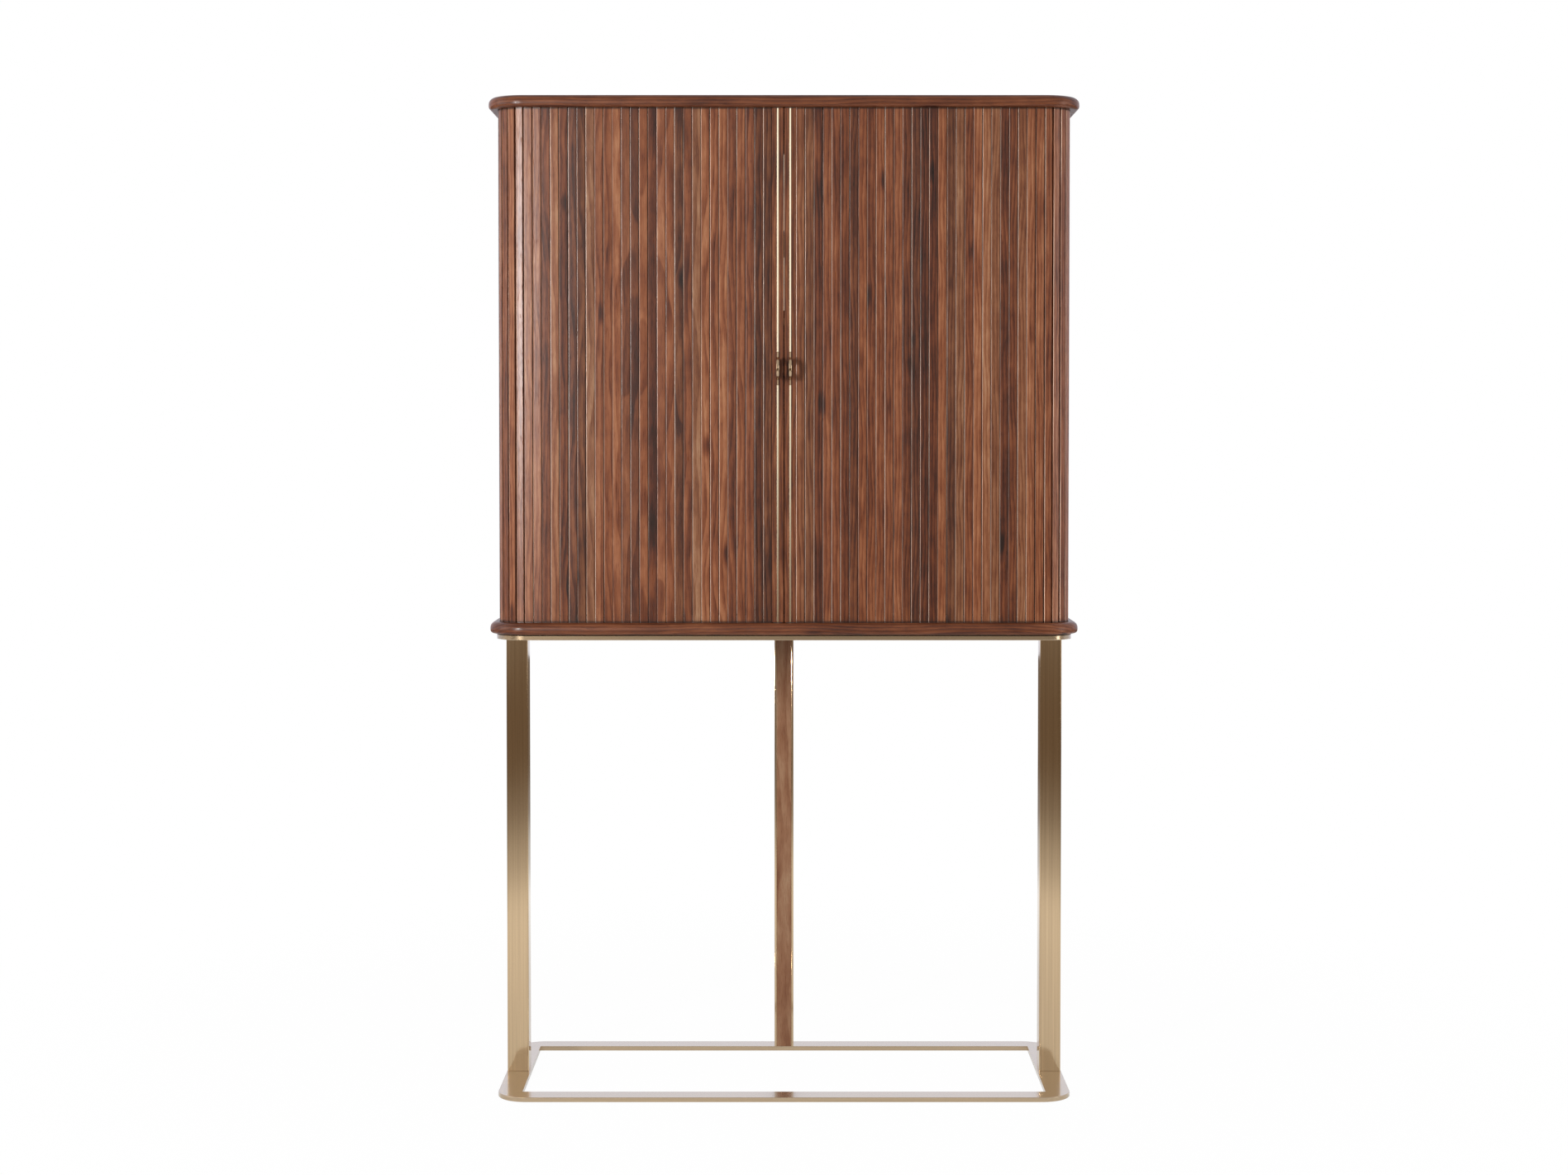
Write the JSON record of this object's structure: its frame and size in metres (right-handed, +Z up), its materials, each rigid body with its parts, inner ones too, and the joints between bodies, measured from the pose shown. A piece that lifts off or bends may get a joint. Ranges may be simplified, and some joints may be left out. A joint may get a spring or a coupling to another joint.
{
  "type": "bar cabinet",
  "caption": "Tall walnut bar cabinet on an open brass frame, with two tambour curtain doors round curved corners and a fold-out serving shelf inside.",
  "frame": {"origin": "on the floor, below the middle of the whole outline with the pulls; the case's own middle is 11.45 mm behind it", "axes": "+Z up, -Y to the front where the doors open, +X to the right seen from the front"},
  "size_m": [1, 0.4729, 1.7],
  "materials": {
    "walnut_slab": "satin lacquered solid walnut, horizontal grain",
    "walnut_slat": "satin lacquered walnut strips, vertical grain",
    "walnut_panel": "satin walnut veneer",
    "brushed_brass": "brushed, lacquered",
    "polished_brass": "satin polished",
    "canvas": "woven cotton",
    "smoked_glass": "clear tempered",
    "bronze_mirror": "bronze tint",
    "gasket_rubber": "matt",
    "steel": "zinc plated",
    "nylon": "moulded nylon"
  },
  "bodies": {
    "case": {"base_frame": "brushed_brass", "bottom_slab": "walnut_slab", "centre_divider": "walnut_panel", "flap_catches": "polished_brass", "flap_rests": "polished_brass", "frame_screws": "steel", "hinge_pins": "polished_brass", "inner_back": "walnut_panel", "left_door_canvas": "canvas", "left_door_slats": "walnut_slat", "left_front_corner_slats": "walnut_slat", "left_inner_side": "walnut_panel", "left_leg": "brushed_brass", "left_rear_corner_slats": "walnut_slat", "left_side_slats": "walnut_slat", "left_wrap_canvas": "canvas", "leg_plugs": "steel", "lower_shelf": "walnut_panel", "lower_shelf_pins": "polished_brass", "mid_shelf": "walnut_panel", "mirror_panel": "bronze_mirror", "outer_back": "walnut_panel", "rear_post_channel": "brushed_brass", "rear_post_inlay": "walnut_panel", "right_door_canvas": "canvas", "right_door_slats": "walnut_slat", "right_front_corner_slats": "walnut_slat", "right_inner_side": "walnut_panel", "right_leg": "brushed_brass", "right_rear_corner_slats": "walnut_slat", "right_side_slats": "walnut_slat", "right_wrap_canvas": "canvas", "shelf_hinge_leaves": "polished_brass", "slab_gasket": "gasket_rubber", "slab_screws": "steel", "stemware_rails": "polished_brass", "top_frame": "brushed_brass", "top_slab": "walnut_slab", "upper_glass_shelf": "smoked_glass", "upper_shelf_pins": "polished_brass"},
    "left_door": {"left_stile": "walnut_slat", "left_brass_strip": "polished_brass", "left_pull": "polished_brass", "left_stile_guides": "nylon"},
    "right_door": {"right_stile": "walnut_slat", "right_brass_strip": "polished_brass", "right_pull": "polished_brass", "right_stile_guides": "nylon"},
    "fold_out_flap": {"fold_out_shelf": "walnut_panel", "flap_hinge_leaves": "polished_brass", "flap_knob": "polished_brass"}
  },
  "joints": [
    {"name": "left_door_slide", "type": "slide", "parent": "case", "child": "left_door", "axis": [-1, 0, 0], "range_m": [0, 0.3865], "deforming": ["left_door_slats", "left_door_canvas"]},
    {"name": "right_door_slide", "type": "slide", "parent": "case", "child": "right_door", "axis": [1, 0, 0], "range_m": [0, 0.3865], "deforming": ["right_door_slats", "right_door_canvas"]},
    {"name": "fold_out_shelf_hinge", "type": "hinge", "parent": "case", "child": "fold_out_flap", "pos_m": [0, 0.00645, 1.168], "axis": [1, 0, 0], "range_deg": [0, 90]}
  ]
}
